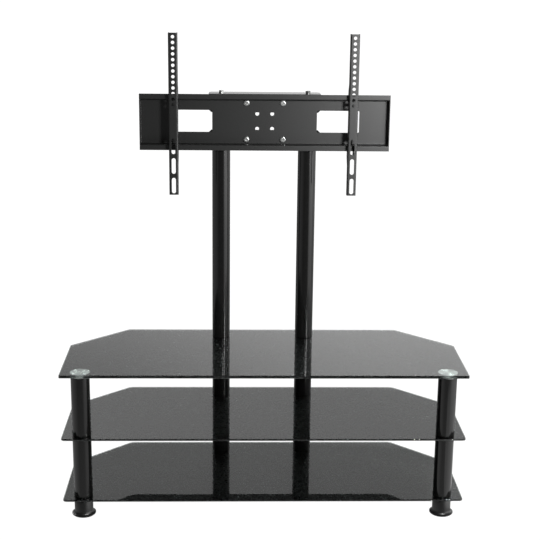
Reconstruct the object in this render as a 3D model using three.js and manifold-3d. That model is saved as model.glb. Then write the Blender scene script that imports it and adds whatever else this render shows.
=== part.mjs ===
// TV stand with a mount: three glass shelves on tube legs, two tall rear columns, and a
// pressed rail with two hooked arms that carry the screen.
// Millimetres. X runs to the right, Y to the back and Z up. The origin is on the floor,
// in the middle of the footprint.

import * as THREE from 'three';
import { mergeVertices } from 'three/addons/utils/BufferGeometryUtils.js';
import Module from 'manifold-3d';

// Glass shelves: one outline, with a straight front, short sides and long rear chamfers
const shelfWidth = 1080;
const shelfDepth = 395;
const shelfSideDepth = 248;
const shelfRearWidth = 776;
const topGlassThickness = 8;
const lowGlassThickness = 5;
const topCornerRadius = 3;
const lowCornerRadius = 10;
const glassArris = 0.8;
const glassHoleRadius = 5;

// Tubes of the legs and columns, and where they stand
const tubeRadius = 25;
const tubeWall = 1.5;
const shelfTubeLength = 171;
const columnLength = 696;
const legSideInset = 52;
const legFrontInset = 34;
const columnSpacing = 238;
const columnRearInset = 55;

// Threaded plugs, pressed into both ends of each tube
const plugDepth = 12;

// Threads that hold the stack together, and the clearances
const threadRadius = 4;
const fitGap = 0.3;
const overrun = 2;

// Bonded discs that carry the top glass on the front legs
const discRadius = 27;
const discThickness = 4;
const discBevel = 0.6;

// Feet: a flared cup with a bolt boss, ribs and a rubber pad
const footHeight = 47.5;
const footFlareRadius = 32;
const footRimHeight = 3;
const footRimBevel = 1;
const footFlareHeight = 12.5;
const footWall = 3;
const footTopWall = 5;
const footBossRadius = 9;
const footBossLength = 23.5;
const footRibThickness = 2.5;
const footRibRise = 4;
const padThickness = 1.5;
const padRadius = 30;
const padWidth = 5.5;

// Hexagon heads and nuts of the eight millimetre bolts
const hexAcrossFlats = 13;
const hexHeadHeight = 5.3;
const nutHeight = 6.5;
const washerRadius = 8.5;
const washerThickness = 1.4;

// Cross bars at the top of the columns: an angle above, a flat bar below
const barLength = 306;
const barThickness = 3;
const barHeight = 50;
const barDepth = 50;
const barSpacing = 48;
const barClip = 7;
const barBendRadius = 0.2;

// Countersunk screws of the lower bar and the saddle nuts behind the column wall
const barScrewRadius = 3;
const barScrewHeadRadius = 6;
const saddleWidth = 14;
const saddleDepth = 8;

// Mounting rail: a pressed tray with its lips turned outwards
const railLength = 680;
const railHeight = 153;
const railDepth = 30;
const railSheet = 2;
const railLipHeight = 15;
const railBendRadius = 1;
const railEndRelief = 1;
const windowWidth = 116;
const windowHeight = 60;
const windowPlace = 201;
const windowCornerRadius = 3;
const boltPattern = 100;
const centrePattern = 41;
const centreHoleRadius = 5.3;

// Rail bolts
const railBoltHeadRadius = 7.6;
const railBoltHeadHeight = 4.4;
const railBoltDome = 1.8;
const socketRadius = 2.9;
const socketDepth = 2.6;
const boltTail = 3;

// Screen arms: channels that hook over the rail's lips
const armWidth = 25;
const armSheet = 2;
const armBendRadius = 1;
const armFlangeDepth = 16;
const armStandOff = 21;
const armTopMargin = 10.5;
const armBottomMargin = 4;
const armTopHolePlace = 229.5;
const armHoleRadius = 4.5;
const armHolePitch = 15;
const screenHolePattern = 400;
const slotLength = 43;
const slotWidth = 11;
const slotPitch = 54;
const leftArmPlace = -247;
const rightArmPlace = 238;

// Hooks of the arms
const hookPlay = 0.6;
const hookWidth = 8;
const hookReach = 9;
const hookNeck = 9;
const hookRamp = 20;
const hookRound = 4;
const ledgePlay = 0.8;
const ledgeHeight = 18;
const ledgeReach = 2;

// Lock screws that rise behind the rail's lower lip
const lockRadius = 2.5;
const lockPlace = 5.3;
const lockBack = 3.7;
const lockEngagement = 8;
const lockHeadRadius = 4.2;
const lockHeadHeight = 5;
const lockTabThickness = 3;
const lockTabDrop = 11;
const lockTabReach = 4.2;

// How finely the round forms are divided
const tubeSides = 28;
const discSides = 24;
const footSides = 18;
const boltSides = 12;
const washerSides = 12;
const holeSteps = 5;
const bendSteps = 2;
const flareSteps = 2;
const holeCount = 13;
const slotCount = 3;
const ribCount = 4;

// Heights of the stack, from the floor up
const bottomGlassBase = padThickness + footHeight;
const bottomGlassTop = bottomGlassBase + lowGlassThickness;
const middleGlassBase = bottomGlassTop + shelfTubeLength;
const middleGlassTop = middleGlassBase + lowGlassThickness;
const topGlassBase = middleGlassTop + shelfTubeLength;
const topGlassTop = topGlassBase + topGlassThickness;
const columnTop = topGlassTop + columnLength;
const barTop = columnTop + barThickness;
const railCentre = barTop - barHeight - barSpacing / 2;

// Places on the footprint
const legX = shelfWidth / 2 - legSideInset;
const legY = legFrontInset - shelfDepth / 2;
const columnX = columnSpacing / 2;
const columnY = shelfDepth / 2 - columnRearInset;
const barFrontY = columnY - tubeRadius - fitGap - barThickness;
const lipFrontY = barFrontY - railDepth;
const armFrontY = lipFrontY - armStandOff;

// Heights of the arms, from the rail's centre
const armTop = armTopHolePlace + armTopMargin;
const lowestSlot = armTopHolePlace - screenHolePattern;
const armBase = lowestSlot - slotLength / 2 - armBottomMargin;

const tubeBore = tubeRadius - tubeWall;
const boreRadius = threadRadius + fitGap;

const glass = new THREE.MeshStandardMaterial({ color: 0x0c0e0f, roughness: 0.05, metalness: 0 });
const paintedSteel = new THREE.MeshStandardMaterial({ color: 0x1d1d1d, roughness: 0.5, metalness: 0.3 });
const mountSteel = new THREE.MeshStandardMaterial({ color: 0x262727, roughness: 0.6, metalness: 0.3 });
const plastic = new THREE.MeshStandardMaterial({ color: 0x151515, roughness: 0.35, metalness: 0 });
const rubber = new THREE.MeshStandardMaterial({ color: 0x202020, roughness: 0.9, metalness: 0 });
const zinc = new THREE.MeshStandardMaterial({ color: 0xc9cac6, roughness: 0.3, metalness: 1 });
const turnedAluminium = new THREE.MeshStandardMaterial({ color: 0xdde2df, roughness: 0.25, metalness: 1 });

const wasm = await Module();
wasm.setup();

// Welds a closed geometry by position and hands it over as a solid
function solidFrom(geometry) {
  const bare = geometry.clone();
  bare.deleteAttribute('normal');
  bare.deleteAttribute('uv');
  const welded = mergeVertices(bare);
  const corners = welded.index.array;
  const triangles = [];
  for (let i = 0; i < corners.length; i += 3) {
    const [a, b, c] = [corners[i], corners[i + 1], corners[i + 2]];
    if (a !== b && b !== c && c !== a) triangles.push(a, b, c);
  }
  return new wasm.Manifold(new wasm.Mesh({
    numProp: 3,
    vertProperties: new Float32Array(welded.attributes.position.array),
    triVerts: new Uint32Array(triangles),
  }));
}

function geometryFrom(solid) {
  const { vertProperties, triVerts } = solid.getMesh();
  const geometry = new THREE.BufferGeometry();
  geometry.setAttribute('position', new THREE.BufferAttribute(vertProperties, 3));
  geometry.setIndex(new THREE.BufferAttribute(triVerts, 1));
  geometry.computeVertexNormals();
  return geometry;
}

function join(base, ...others) {
  return geometryFrom(others.reduce((sum, other) => sum.add(solidFrom(other)), solidFrom(base)));
}

function cut(base, ...others) {
  return geometryFrom(others.reduce((rest, other) => rest.subtract(solidFrom(other)), solidFrom(base)));
}

function common(base, other) {
  return geometryFrom(solidFrom(base).intersect(solidFrom(other)));
}

function moved(geometry, x, y, z) {
  return geometry.clone().translate(x, y, z);
}

// Turns a closed profile of [radius, height] pairs about the vertical axis
function turned(profile, sides) {
  const points = profile.map(([radius, height]) => new THREE.Vector2(radius, height));
  if (profile[0][0] !== 0) points.push(points[0].clone());
  return new THREE.LatheGeometry(points, sides).rotateX(Math.PI / 2);
}

function rod(radius, low, high, sides) {
  return turned([[0, low], [radius, low], [radius, high], [0, high]], sides);
}

function ring(inner, outer, low, high, sides) {
  return turned([[outer, low], [outer, high], [inner, high], [inner, low]], sides);
}

function hexagonPrism(low, high) {
  const radius = hexAcrossFlats / Math.sqrt(3);
  const prism = new THREE.CylinderGeometry(radius, radius, high - low, 6).rotateX(Math.PI / 2);
  return prism.translate(0, 0, (low + high) / 2);
}

// Rounds the corners of a line of [x, y, radius] points; gives points with their directions
function roundedLine(corners, closed) {
  const last = corners.length - 1;
  const stations = [];
  corners.forEach(([x, y, radius = 0], i) => {
    const here = new THREE.Vector2(x, y);
    const before = corners[i === 0 ? last : i - 1];
    const after = corners[i === last ? 0 : i + 1];
    const into = here.clone().sub(new THREE.Vector2(before[0], before[1])).normalize();
    const out = new THREE.Vector2(after[0], after[1]).sub(here).normalize();
    if (!closed && i === 0) stations.push({ point: here, direction: out });
    else if (!closed && i === last) stations.push({ point: here, direction: into });
    else if (radius === 0) stations.push({ point: here, direction: into });
    else stations.push(...bend(here, into, out, radius));
  });
  return stations;
}

// The stations of one bend, from the direction into it to the direction out of it
function bend(corner, into, out, radius) {
  const turn = Math.atan2(into.cross(out), into.dot(out));
  const side = Math.sign(turn);
  const setback = radius * Math.tan(Math.abs(turn) / 2);
  const centre = corner.clone().addScaledVector(into, -setback);
  centre.add(new THREE.Vector2(-into.y, into.x).multiplyScalar(side * radius));
  return Array.from({ length: bendSteps + 1 }, (_, step) => {
    const direction = into.clone().rotateAround(new THREE.Vector2(), turn * step / bendSteps);
    const outward = new THREE.Vector2(direction.y, -direction.x);
    return { point: centre.clone().addScaledVector(outward, side * radius), direction };
  });
}

function roundedShape(corners) {
  return new THREE.Shape(roundedLine(corners, true).map((station) => station.point));
}

// Section of a folded sheet that follows a line of corners with its middle
function sheetSection(corners, thickness, innerRadius) {
  const radius = innerRadius + thickness / 2;
  const stations = roundedLine(corners.map(([x, y]) => [x, y, radius]), false);
  const face = (side) => stations.map(({ point, direction }) => new THREE.Vector2(
    point.x - side * direction.y * thickness / 2,
    point.y + side * direction.x * thickness / 2,
  ));
  return new THREE.Shape([...face(1), ...face(-1).reverse()]);
}

function circlePath(x, y, radius) {
  return new THREE.Path().absarc(x, y, radius, 0, 2 * Math.PI);
}

function circleShape(x, y, radius) {
  return new THREE.Shape().absarc(x, y, radius, 0, 2 * Math.PI);
}

function slotShape(x, y, width, length) {
  const radius = width / 2;
  const reach = length / 2 - radius;
  const shape = new THREE.Shape();
  shape.absarc(x, y + reach, radius, 0, Math.PI);
  shape.absarc(x, y - reach, radius, Math.PI, 2 * Math.PI);
  return shape;
}

function extruded(shapes, depth) {
  return new THREE.ExtrudeGeometry(shapes, { depth, bevelEnabled: false, curveSegments: holeSteps });
}

// A shape drawn in Y and Z, extruded along X about the middle
function extrudedAlongX(shape, length) {
  const turn = new THREE.Matrix4().makeBasis(
    new THREE.Vector3(0, 1, 0),
    new THREE.Vector3(0, 0, 1),
    new THREE.Vector3(1, 0, 0),
  );
  return extruded(shape, length).applyMatrix4(turn).translate(-length / 2, 0, 0);
}

// Shapes drawn in X and Z, extruded to the back from Y = low to Y = high
function extrudedAlongY(shapes, low, high) {
  return extruded(shapes, high - low).rotateX(Math.PI / 2).translate(0, high, 0);
}

// A piece turned about the vertical axis, laid so that its top faces the front
function facingFront(geometry) {
  return geometry.clone().rotateX(Math.PI / 2);
}

const group = new THREE.Group();
group.name = 'tv_stand_with_mount';

function add(name, geometry, material, x = 0, y = 0, z = 0) {
  const mesh = new THREE.Mesh(geometry, material);
  mesh.name = name;
  mesh.position.set(x, y, z);
  group.add(mesh);
}

const sides = [['left', -1], ['right', 1]];
const legs = sides.map(([label, side]) => [`${label}_leg`, side * legX, legY]);
const columns = sides.map(([label, side]) => [`${label}_column`, side * columnX, columnY]);
const stacks = [...legs, ...columns];

// Glass shelves
function shelf(thickness, cornerRadius, holes) {
  const half = shelfWidth / 2;
  const rear = shelfRearWidth / 2;
  const front = -shelfDepth / 2;
  const outline = roundedShape([
    [-half, front, cornerRadius],
    [half, front, cornerRadius],
    [half, front + shelfSideDepth, cornerRadius],
    [rear, front + shelfDepth, cornerRadius],
    [-rear, front + shelfDepth, cornerRadius],
    [-half, front + shelfSideDepth, cornerRadius],
  ]);
  const slab = new THREE.ExtrudeGeometry(outline, {
    depth: thickness - 2 * glassArris,
    bevelThickness: glassArris,
    bevelSize: glassArris,
    bevelOffset: -glassArris,
    bevelSegments: 1,
  });
  slab.translate(0, 0, glassArris);
  const drill = rod(glassHoleRadius, -overrun, thickness + overrun, boltSides);
  return cut(slab, ...holes.map(([, x, y]) => moved(drill, x, y, 0)));
}

add('bottom_shelf', shelf(lowGlassThickness, lowCornerRadius, stacks), glass, 0, 0, bottomGlassBase);
add('middle_shelf', shelf(lowGlassThickness, lowCornerRadius, stacks), glass, 0, 0, middleGlassBase);
add('top_shelf', shelf(topGlassThickness, topCornerRadius, columns), glass, 0, 0, topGlassBase);

// Tubes with their end plugs: the plugs' bores take the threads
function tube(length) {
  return turned([
    [boreRadius, 0],
    [tubeRadius, 0],
    [tubeRadius, length],
    [boreRadius, length],
    [boreRadius, length - plugDepth],
    [tubeBore, length - plugDepth],
    [tubeBore, plugDepth],
    [boreRadius, plugDepth],
  ], tubeSides);
}

const shelfTube = tube(shelfTubeLength);
const shortTube = tube(shelfTubeLength - discThickness);
for (const [label, x, y] of stacks) {
  add(`${label}_lower_tube`, shelfTube, paintedSteel, x, y, bottomGlassTop);
}
for (const [label, x, y] of legs) {
  add(`${label}_upper_tube`, shortTube, paintedSteel, x, y, middleGlassTop);
}

// Columns, drilled at the front for the lower bar's screws
const lowerBarMiddle = railCentre - barSpacing / 2 - barHeight / 2;
const columnDrill = rod(barScrewRadius + fitGap, 0, tubeRadius + overrun, boltSides);
const column = cut(tube(columnLength), moved(facingFront(columnDrill), 0, 0, lowerBarMiddle - topGlassTop));
for (const [label, x, y] of columns) {
  add(`${label}_upper_tube`, shelfTube, paintedSteel, x, y, middleGlassTop);
  add(`${label}_tall_tube`, column, paintedSteel, x, y, topGlassTop);
}

// Studs that join the tubes through the glass
function stud(glassThickness) {
  return rod(threadRadius, -plugDepth, glassThickness + plugDepth, boltSides);
}

const lowStud = stud(lowGlassThickness);
const topStud = stud(topGlassThickness);
for (const [label, x, y] of stacks) {
  add(`${label}_middle_stud`, lowStud, zinc, x, y, middleGlassBase);
}
for (const [label, x, y] of columns) {
  add(`${label}_top_stud`, topStud, zinc, x, y, topGlassBase);
}

// Bonded discs: the face meets the underside of the top glass, the stud enters the tube's plug
const disc = turned([
  [0, -plugDepth],
  [threadRadius, -plugDepth],
  [threadRadius, 0],
  [discRadius - discBevel, 0],
  [discRadius, discBevel],
  [discRadius, discThickness],
  [0, discThickness],
], discSides);
for (const [label, x, y] of legs) {
  add(`${label}_bonded_disc`, disc, turnedAluminium, x, y, topGlassBase - discThickness);
}

// Feet: the flare is a quarter curve between the rim and the barrel
function foot() {
  const barrelInner = tubeRadius - footWall;
  const ceiling = footHeight - footTopWall;
  const bossBase = footHeight - footBossLength;
  const flareBase = footRimHeight;
  const flareRise = footFlareHeight - footRimHeight;
  const flareSpread = footFlareRadius - tubeRadius;
  const flare = Array.from({ length: flareSteps }, (_, step) => {
    const angle = (step / flareSteps) * Math.PI / 2;
    return [footFlareRadius - flareSpread * Math.sin(angle), flareBase + flareRise * (1 - Math.cos(angle))];
  });
  const shell = turned([
    [padRadius - padWidth, 0],
    [footFlareRadius - footRimBevel, 0],
    [footFlareRadius, footRimBevel],
    ...flare,
    [tubeRadius, footFlareHeight],
    [tubeRadius, footHeight],
    [boreRadius, footHeight],
    [boreRadius, bossBase],
    [footBossRadius, bossBase],
    [footBossRadius, ceiling],
    [barrelInner, ceiling],
    [barrelInner, footFlareHeight],
  ], footSides);
  const ribLength = barrelInner - footBossRadius + footWall;
  const ribBase = bossBase + footRibRise;
  const rib = new THREE.BoxGeometry(ribLength, footRibThickness, ceiling - ribBase + footWall);
  rib.translate(footBossRadius - footWall / 2 + ribLength / 2, 0, (ribBase + ceiling + footWall) / 2);
  const ribs = Array.from({ length: ribCount }, (_, i) => rib.clone().rotateZ(2 * Math.PI * i / ribCount));
  return join(shell, ...ribs);
}

// Foot bolts: the head bears on the foot's boss, the shank enters the lowest plug
const bossBaseHeight = padThickness + footHeight - footBossLength;
const footBolt = join(
  hexagonPrism(bossBaseHeight - hexHeadHeight, bossBaseHeight),
  rod(threadRadius, bossBaseHeight - hexHeadHeight / 2, bottomGlassTop + plugDepth, boltSides),
);

const footShape = foot();
const pad = ring(padRadius - padWidth, padRadius, 0, padThickness, footSides);
for (const [label, x, y] of stacks) {
  add(`${label}_foot`, footShape, plastic, x, y, padThickness);
  add(`${label}_foot_pad`, pad, rubber, x, y, 0);
  add(`${label}_foot_bolt`, footBolt, zinc, x, y, 0);
}

// Upper cross bar: an angle, clipped at its free corners, drilled for rail and columns
function clippedPlate(length, low, high, clipLow, clipHigh) {
  const half = length / 2;
  return new THREE.Shape([
    [-half, low + clipLow],
    [-half + clipLow, low],
    [half - clipLow, low],
    [half, low + clipLow],
    [half, high - clipHigh],
    [half - clipHigh, high],
    [-half + clipHigh, high],
    [-half, high - clipHigh],
  ].map(([x, y]) => new THREE.Vector2(x, y)));
}

function upperBar() {
  const middle = barThickness / 2;
  const section = sheetSection([
    [middle, -barHeight],
    [middle, -middle],
    [barDepth, -middle],
  ], barThickness, barBendRadius);
  const angle = extrudedAlongX(section, barLength);
  const frontView = clippedPlate(barLength, -barHeight, overrun, barClip, 0);
  const topView = clippedPlate(barLength, -overrun, barDepth, 0, barClip);
  const frontForm = extrudedAlongY(frontView, -overrun, barDepth + overrun);
  const topForm = extruded(topView, barHeight + 2 * overrun).translate(0, 0, -barHeight - overrun);
  const clipped = common(common(angle, frontForm), topForm);
  const boltHeight = railCentre + boltPattern / 2 - barTop;
  const frontHoles = [-1, 1].map((side) => circleShape(side * boltPattern / 2, boltHeight, boreRadius));
  const topHoles = [-1, 1].map((side) => circleShape(side * columnX, columnY - barFrontY, boreRadius));
  return cut(
    clipped,
    extrudedAlongY(frontHoles, -overrun, barThickness + overrun),
    extruded(topHoles, barThickness + 2 * overrun).translate(0, 0, -barThickness - overrun),
  );
}

add('upper_cross_bar', upperBar(), mountSteel, 0, barFrontY, barTop);

// Lower cross bar: flat, countersunk for its screws
function lowerBar() {
  const outline = clippedPlate(barLength, -barHeight / 2, barHeight / 2, barClip, barClip);
  const boltHeight = railCentre - boltPattern / 2 - lowerBarMiddle;
  outline.holes = [-1, 1].map((side) => circlePath(side * boltPattern / 2, boltHeight, boreRadius));
  const plate = extrudedAlongY(outline, 0, barThickness);
  const countersink = facingFront(turned([
    [0, -barThickness - overrun],
    [barScrewRadius + fitGap, -barThickness - overrun],
    [barScrewRadius + fitGap, -barThickness],
    [barScrewHeadRadius + fitGap, 0],
    [barScrewHeadRadius + fitGap, overrun],
    [0, overrun],
  ], boltSides));
  return cut(plate, moved(countersink, -columnX, 0, 0), moved(countersink, columnX, 0, 0));
}

add('lower_cross_bar', lowerBar(), mountSteel, 0, barFrontY, lowerBarMiddle);

// Countersunk screws and the saddle nuts that follow the column's inner wall
const wallInside = barThickness + fitGap + tubeWall;
const barScrew = facingFront(turned([
  [0, -wallInside - saddleDepth],
  [barScrewRadius, -wallInside - saddleDepth],
  [barScrewRadius, -barThickness],
  [barScrewHeadRadius, -fitGap],
  [0, -fitGap],
], boltSides));

function saddleNut() {
  const block = new THREE.BoxGeometry(saddleWidth, 2 * saddleDepth, saddleWidth);
  block.translate(0, -tubeBore, 0);
  const fill = rod(tubeBore - fitGap, -saddleWidth, saddleWidth, tubeSides);
  const drill = facingFront(rod(barScrewRadius + fitGap, 0, tubeRadius, boltSides));
  return cut(common(block, fill), drill);
}

const saddle = saddleNut();
for (const [label, x, y] of columns) {
  add(`${label}_bar_screw`, barScrew, zinc, x, barFrontY, lowerBarMiddle);
  add(`${label}_saddle_nut`, saddle, zinc, x, y, lowerBarMiddle);
}

// Column top bolts, with a flange under the head
const topBolt = join(
  hexagonPrism(washerThickness / 2, washerThickness + hexHeadHeight),
  turned([
    [0, -barThickness - plugDepth],
    [threadRadius, -barThickness - plugDepth],
    [threadRadius, 0],
    [washerRadius, 0],
    [washerRadius, washerThickness],
    [0, washerThickness],
  ], boltSides),
);
for (const [label, x, y] of columns) {
  add(`${label}_top_bolt`, topBolt, zinc, x, y, barTop);
}

// Mounting rail: the tray section, with windows and holes, and end walls folded from the web
function rail() {
  const middle = railSheet / 2;
  const web = railDepth - middle;
  const wall = railHeight / 2 - railLipHeight + middle;
  const half = railHeight / 2;
  const section = sheetSection([
    [middle, -half],
    [middle, -wall],
    [web, -wall],
    [web, wall],
    [middle, wall],
    [middle, half],
  ], railSheet, railBendRadius);
  const tray = extrudedAlongX(section, railLength);
  const endHeight = railHeight - 2 * railLipHeight - 2 * railEndRelief;
  const endSection = (side) => sheetSection([
    [side * (railLength / 2 - railDepth), web],
    [side * (railLength / 2 - middle), web],
    [side * (railLength / 2 - middle), 0],
  ], railSheet, railBendRadius);
  const ends = [-1, 1].map((side) => moved(extruded(endSection(side), endHeight), 0, 0, -endHeight / 2));
  const corners = [-1, 1].map((side) => endCorner(side, web, endHeight));
  return cut(join(cut(tray, ...corners), ...ends), railCuts());
}

// The web's square end, taken away so that the folded end wall keeps its round outer bend
function endCorner(side, web, endHeight) {
  const corner = new THREE.BoxGeometry(railDepth, railSheet + overrun, endHeight);
  const place = railLength / 2 + railDepth / 2 - railBendRadius - railSheet;
  return corner.translate(side * place, web + overrun / 2, 0);
}

function railCuts() {
  const windows = [-1, 1].map((side) => {
    const left = side * windowPlace - windowWidth / 2;
    const right = side * windowPlace + windowWidth / 2;
    return roundedShape([
      [left, -windowHeight / 2, windowCornerRadius],
      [right, -windowHeight / 2, windowCornerRadius],
      [right, windowHeight / 2, windowCornerRadius],
      [left, windowHeight / 2, windowCornerRadius],
    ]);
  });
  const bolts = squareOfHoles(boltPattern / 2, boreRadius);
  const centres = squareOfHoles(centrePattern / 2, centreHoleRadius);
  const shapes = [...windows, ...bolts, ...centres];
  return extrudedAlongY(shapes, railDepth - railSheet - overrun, railDepth + overrun);
}

function squareOfHoles(half, radius) {
  return [[-1, -1], [1, -1], [1, 1], [-1, 1]].map(([x, z]) => circleShape(x * half, z * half, radius));
}

add('mount_rail', rail(), mountSteel, 0, lipFrontY, railCentre);

// Rail bolts from the front, with washers under the heads and nuts behind the bars
function railBolt() {
  const headTop = washerThickness + railBoltHeadHeight;
  const grip = railSheet + barThickness + nutHeight + boltTail;
  const body = turned([
    [0, -grip],
    [threadRadius, -grip],
    [threadRadius, washerThickness],
    [railBoltHeadRadius, washerThickness],
    [railBoltHeadRadius, headTop - railBoltDome],
    [railBoltHeadRadius - railBoltDome, headTop],
    [0, headTop],
  ], washerSides);
  const socket = new THREE.CylinderGeometry(socketRadius, socketRadius, socketDepth + overrun, 6);
  socket.rotateX(Math.PI / 2).translate(0, 0, headTop - socketDepth / 2 + overrun / 2);
  return facingFront(cut(body, socket));
}

const nutBack = railSheet + barThickness;
const railNut = facingFront(cut(
  hexagonPrism(-nutBack - nutHeight, -nutBack),
  rod(boreRadius, -nutBack - nutHeight - overrun, 0, boltSides),
));
const railWasher = facingFront(ring(boreRadius, washerRadius, 0, washerThickness, washerSides));
const bolt = railBolt();
for (const [level, up] of [['lower', -1], ['upper', 1]]) {
  for (const [label, side] of sides) {
    const place = [side * boltPattern / 2, barFrontY - railSheet, railCentre + up * boltPattern / 2];
    add(`rail_bolt_${level}_${label}`, bolt, zinc, ...place);
    add(`rail_washer_${level}_${label}`, railWasher, zinc, ...place);
    add(`rail_nut_${level}_${label}`, railNut, zinc, ...place);
  }
}

// Screen arms: a channel cut to the hooked side view, then punched and given its lock tab
function armSideView() {
  const back = armStandOff - fitGap;
  const hookFront = armStandOff + railSheet + hookPlay;
  const hookRear = hookFront + hookWidth;
  const lip = railHeight / 2;
  const seat = lip + fitGap;
  const crown = seat + hookNeck;
  const ledgeTop = -lip - ledgePlay;
  const ledgeBase = ledgeTop - ledgeHeight;
  const ledgeRear = hookRear + ledgeReach;
  return roundedShape([
    [0, armBase],
    [armFlangeDepth, armBase],
    [armFlangeDepth, ledgeBase - hookRamp, hookRound],
    [ledgeRear, ledgeBase, hookRound],
    [ledgeRear, ledgeTop],
    [back, ledgeTop],
    [back, seat],
    [hookFront, seat],
    [hookFront, lip - hookReach],
    [hookRear, lip - hookReach],
    [hookRear, crown, hookRound],
    [armFlangeDepth, crown + hookRamp, hookRound],
    [armFlangeDepth, armTop],
    [0, armTop],
  ]);
}

function armPunching() {
  const holes = Array.from({ length: holeCount }, (_, i) => {
    return circleShape(0, armTopHolePlace - i * armHolePitch, armHoleRadius);
  });
  const slots = Array.from({ length: slotCount }, (_, i) => {
    return slotShape(0, lowestSlot + i * slotPitch, slotWidth, slotLength);
  });
  return extrudedAlongY([...holes, ...slots], -overrun, armSheet + overrun);
}

const lockBackPlace = armStandOff + railSheet + lockBack;
const lockTabTop = -railHeight / 2 - lockTabDrop;

function lockTab() {
  const inner = lockPlace - lockRadius - fitGap - armSheet;
  const outer = armWidth / 2 - armSheet / 2;
  const shape = new THREE.Shape([
    [inner, lockBackPlace - lockTabReach],
    [outer, lockBackPlace - lockTabReach],
    [outer, lockBackPlace + lockTabReach],
    [inner, lockBackPlace + lockTabReach],
  ].map(([x, y]) => new THREE.Vector2(x, y)));
  shape.holes = [circlePath(lockPlace, lockBackPlace, lockRadius + fitGap)];
  return extruded(shape, lockTabThickness).translate(0, 0, lockTabTop - lockTabThickness);
}

function screenArm() {
  const reach = armStandOff + railSheet + hookPlay + hookWidth + ledgeReach;
  const side = armWidth / 2 - armSheet / 2;
  const channel = sheetSection([
    [-side, reach + overrun],
    [-side, armSheet / 2],
    [side, armSheet / 2],
    [side, reach + overrun],
  ], armSheet, armBendRadius);
  const blank = extruded(channel, armTop - armBase).translate(0, 0, armBase);
  const hooked = common(blank, extrudedAlongX(armSideView(), armWidth + 2 * overrun));
  return join(cut(hooked, armPunching()), lockTab());
}

// Lock screws: the shank passes the tab and rises behind the rail's lower lip
const lockTip = lockTabDrop + lockTabThickness + lockEngagement;
const lockScrew = turned([
  [0, -lockHeadHeight],
  [lockHeadRadius, -lockHeadHeight],
  [lockHeadRadius, -fitGap],
  [lockRadius, -fitGap],
  [lockRadius, lockTip],
  [0, lockTip],
], boltSides);

const arm = screenArm();
for (const [label, place] of [['left', leftArmPlace], ['right', rightArmPlace]]) {
  add(`${label}_screen_arm`, arm, mountSteel, place, armFrontY, railCentre);
  const lockHeight = railCentre + lockTabTop - lockTabThickness;
  add(`${label}_lock_screw`, lockScrew, zinc, place + lockPlace, armFrontY + lockBackPlace, lockHeight);
}

export default group;
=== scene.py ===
"""TV stand with mount: finished pieces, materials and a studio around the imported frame."""

import math

import bmesh
import bpy
from bpy.props import FloatProperty, FloatVectorProperty, IntProperty, PointerProperty
from bpy.types import Operator, Panel, PropertyGroup
from mathutils import Matrix, Vector


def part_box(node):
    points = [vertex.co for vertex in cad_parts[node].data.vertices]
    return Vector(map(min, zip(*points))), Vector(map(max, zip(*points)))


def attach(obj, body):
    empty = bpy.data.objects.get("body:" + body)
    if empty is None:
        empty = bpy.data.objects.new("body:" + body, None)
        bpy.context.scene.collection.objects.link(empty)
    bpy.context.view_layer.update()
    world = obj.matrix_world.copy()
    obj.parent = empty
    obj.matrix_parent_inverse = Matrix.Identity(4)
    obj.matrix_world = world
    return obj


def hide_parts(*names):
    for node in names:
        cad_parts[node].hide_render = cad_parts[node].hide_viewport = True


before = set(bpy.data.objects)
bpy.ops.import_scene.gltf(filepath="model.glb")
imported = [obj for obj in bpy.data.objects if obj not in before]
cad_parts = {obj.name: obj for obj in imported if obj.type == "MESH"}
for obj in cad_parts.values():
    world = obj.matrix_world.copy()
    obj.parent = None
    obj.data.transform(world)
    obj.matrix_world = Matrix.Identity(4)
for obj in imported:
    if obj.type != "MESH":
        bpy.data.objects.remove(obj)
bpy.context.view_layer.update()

bl_info = {
    "name": "TV stand with mount",
    "version": (1, 0, 0),
    "blender": (4, 5, 0),
    "location": "3D View > Sidebar > TV stand",
    "description": "Builds the finished pieces of a glass television stand",
    "category": "Object",
}

SIDES = ("left", "right")
STACKS = [f"{side}_{kind}" for kind in ("leg", "column") for side in SIDES]
TURN = 2 * math.pi
RIGHT_ANGLE = math.pi / 2
REAL_EDGE = 30  # degrees between the faces at an edge that shows
OVERRUN = 0.002  # how far a cutting tool reaches past what it cuts
OVERLAP = 0.001  # how far joined pieces run into each other
WELD = 1e-7
SHEET = 0.002  # thickness of the rail and the arms
BAR_CLIP = 0.007  # length cut off along each side of a cross bar's corner
THREAD = 0.004  # radius of the 8 mm bolts
BOLT_HOLE = 0.0043  # radius of the holes they pass through
BOLT_EASE = 0.0004  # rounding of a bolt's edges
THREAD_END = 0.0002  # plain neck between a thread and its head


# Sizes and colours that a user would change

def length(name, description, default):
    return FloatProperty(name=name, description=description, default=default, min=0, unit="LENGTH")


def colour(name, description, default):
    return FloatVectorProperty(
        name=name, description=description, default=default, min=0, max=1, subtype="COLOR")


def power(name, description, default):
    return FloatProperty(name=name, description=description, default=default, min=0, unit="POWER")


class GlassSettings(PropertyGroup):
    side_depth: length("Straight side", "Depth of a shelf's straight side", 0.248)
    rear_width: length("Rear edge", "Width of a shelf's rear edge", 0.776)
    arris: length("Arris", "Size of the polished edge", 0.0008)
    top_corner: length("Top corner", "Corner radius of the top shelf", 0.003)
    low_corner: length("Lower corner", "Corner radius of the lower shelves", 0.010)
    window_inset: length("Window inset", "Print that laps over the rim of each bonded disc", 0.0009)
    tint: colour("Glass tint", "Colour of the glass", (0.86, 0.95, 0.91))
    print_colour: colour("Print", "Colour of the printed underside", (0.0035, 0.0038, 0.004))


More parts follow.
